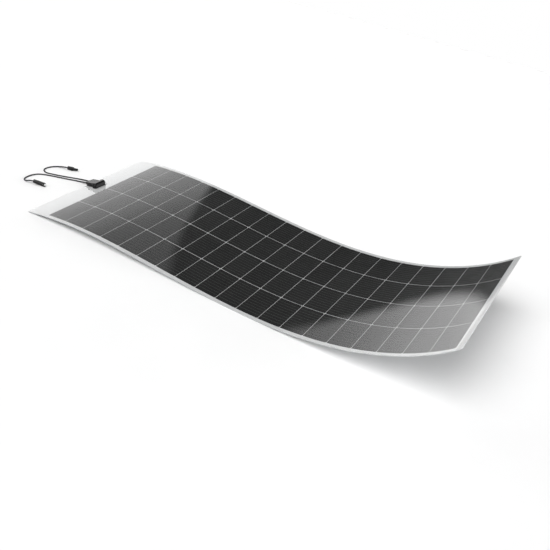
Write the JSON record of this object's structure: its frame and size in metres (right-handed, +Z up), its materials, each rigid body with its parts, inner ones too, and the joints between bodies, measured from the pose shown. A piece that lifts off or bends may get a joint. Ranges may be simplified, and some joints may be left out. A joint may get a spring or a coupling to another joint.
{
  "type": "flexible solar sheet",
  "caption": "Thin curved photovoltaic laminate of dark half-cut cells on a white back sheet, with a black junction box and two cables ending in pin and socket plugs.",
  "frame": {"origin": "On the ground, below the middle of the sheet and its junction box glands, on the centre line across the width.", "axes": "+X along the length from the junction box end to the raised free end, +Y across the width, +Z up. The sheet rests on its box end edge and on its trough line."},
  "size_m": [2.2212, 0.77, 0.2736],
  "materials": {
    "back_film": "matt white weatherproof film",
    "white_film": "matt white",
    "encapsulant": "clear",
    "front_film": "clear, glossy",
    "silicon": "near-black, anti-reflection coated",
    "tinned_copper": "tinned, dull silver",
    "white_strip": "matt white",
    "black_plastic": "fine moulded texture",
    "lid_plastic": "semi-gloss moulded",
    "black_rubber": "smooth",
    "adhesive": "cured sealant",
    "cable_sheath": "smooth black sheath",
    "steel": "zinc plated",
    "copper": "bare stranded copper",
    "contact_metal": "silver plated",
    "diode_body": "moulded"
  },
  "bodies": {
    "sheet": {"back_sheet": "back_film", "rear_encapsulant": "white_film", "front_encapsulant": "encapsulant", "front_sheet": "front_film", "cell_row_1": "silicon", "cell_row_2": "silicon", "cell_row_3": "silicon", "cell_row_4": "silicon", "ribbon_row_1": "tinned_copper", "ribbon_row_2": "tinned_copper", "ribbon_row_3": "tinned_copper", "ribbon_row_4": "tinned_copper", "positive_bus": "tinned_copper", "negative_bus": "tinned_copper", "centre_bus": "tinned_copper", "end_buses": "tinned_copper", "box_end_cover": "white_strip", "free_end_cover": "white_strip", "adhesive_pad": "adhesive", "box_base": "black_plastic", "box_gasket": "black_rubber", "positive_rail": "tinned_copper", "negative_rail": "tinned_copper", "centre_rail": "tinned_copper", "cable_clamps": "contact_metal", "clamp_screws": "steel", "bypass_diode_1": "diode_body", "bypass_diode_2": "diode_body", "pin_plug_seal": "black_rubber", "socket_plug_seal": "black_rubber", "pin_housing": "black_plastic", "pin_contact": "contact_metal", "socket_housing": "black_plastic", "socket_ring": "black_rubber", "socket_contact": "contact_metal", "positive_cable": "cable_sheath", "negative_cable": "cable_sheath", "positive_core_ends": "copper", "negative_core_ends": "copper"},
    "lid": {"box_lid": "lid_plastic"},
    "positive_gland_bush": {"positive_gland_seal": "black_rubber"},
    "positive_gland_cap": {"positive_gland_nut": "black_plastic"},
    "negative_gland_bush": {"negative_gland_seal": "black_rubber"},
    "negative_gland_cap": {"negative_gland_nut": "black_plastic"},
    "pin_plug_grip": {"pin_plug_clamp": "black_plastic"},
    "pin_plug_cap": {"pin_plug_nut": "black_plastic"},
    "socket_plug_grip": {"socket_plug_clamp": "black_plastic"},
    "socket_plug_cap": {"socket_plug_nut": "black_plastic"},
    "upper_latch": {"latch_arm_1": "black_plastic"},
    "lower_latch": {"latch_arm_2": "black_plastic"}
  },
  "joints": [
    {"name": "lid_lift", "type": "slide", "parent": "sheet", "child": "lid", "axis": [-0.175, 0, 0.9846], "range_m": [0, 0.025]},
    {"name": "positive_gland_back_off", "type": "slide", "parent": "sheet", "child": "positive_gland_bush", "axis": [-0.9846, 0, -0.175], "range_m": [0, 0.003]},
    {"name": "positive_gland_nut_turn", "type": "hinge", "parent": "positive_gland_bush", "child": "positive_gland_cap", "pos_m": [-0.9803, -0.011, 0.01178], "axis": [-0.9846, 0, -0.175], "range_deg": [0, 720]},
    {"name": "negative_gland_back_off", "type": "slide", "parent": "sheet", "child": "negative_gland_bush", "axis": [-0.9846, 0, -0.175], "range_m": [0, 0.003]},
    {"name": "negative_gland_nut_turn", "type": "hinge", "parent": "negative_gland_bush", "child": "negative_gland_cap", "pos_m": [-0.9803, 0.011, 0.01178], "axis": [-0.9846, 0, -0.175], "range_deg": [0, 720]},
    {"name": "pin_plug_back_off", "type": "slide", "parent": "sheet", "child": "pin_plug_grip", "axis": [-0.9566, -0.2707, 0.108], "range_m": [0, 0.003]},
    {"name": "pin_plug_nut_turn", "type": "hinge", "parent": "pin_plug_grip", "child": "pin_plug_cap", "pos_m": [-1.1574, -0.181, 0.0163], "axis": [-0.9566, -0.2707, 0.108], "range_deg": [0, 720]},
    {"name": "socket_plug_back_off", "type": "slide", "parent": "sheet", "child": "socket_plug_grip", "axis": [-0.862, -0.4937, 0.1149], "range_m": [0, 0.003]},
    {"name": "socket_plug_nut_turn", "type": "hinge", "parent": "socket_plug_grip", "child": "socket_plug_cap", "pos_m": [-1.1584, 0.0405, 0.0125], "axis": [-0.862, -0.4937, 0.1149], "range_deg": [0, 720]},
    {"name": "upper_latch_press", "type": "hinge", "parent": "sheet", "child": "upper_latch", "pos_m": [-1.13324, -0.17416, 0.02152], "axis": [-0.2723, 0.9622, 0], "range_deg": [0, 3.2], "stiffness_Nm_per_rad": 2},
    {"name": "lower_latch_press", "type": "hinge", "parent": "sheet", "child": "lower_latch", "pos_m": [-1.13488, -0.17463, 0.00581], "axis": [0.2723, -0.9622, 0], "range_deg": [0, 3.2], "stiffness_Nm_per_rad": 2}
  ],
  "couplings": [
    {"joint": "positive_gland_nut_turn", "follows": "positive_gland_back_off", "rad_per_m": 4188.8},
    {"joint": "negative_gland_nut_turn", "follows": "negative_gland_back_off", "rad_per_m": 4188.8},
    {"joint": "pin_plug_nut_turn", "follows": "pin_plug_back_off", "rad_per_m": 4188.8},
    {"joint": "socket_plug_nut_turn", "follows": "socket_plug_back_off", "rad_per_m": 4188.8}
  ]
}
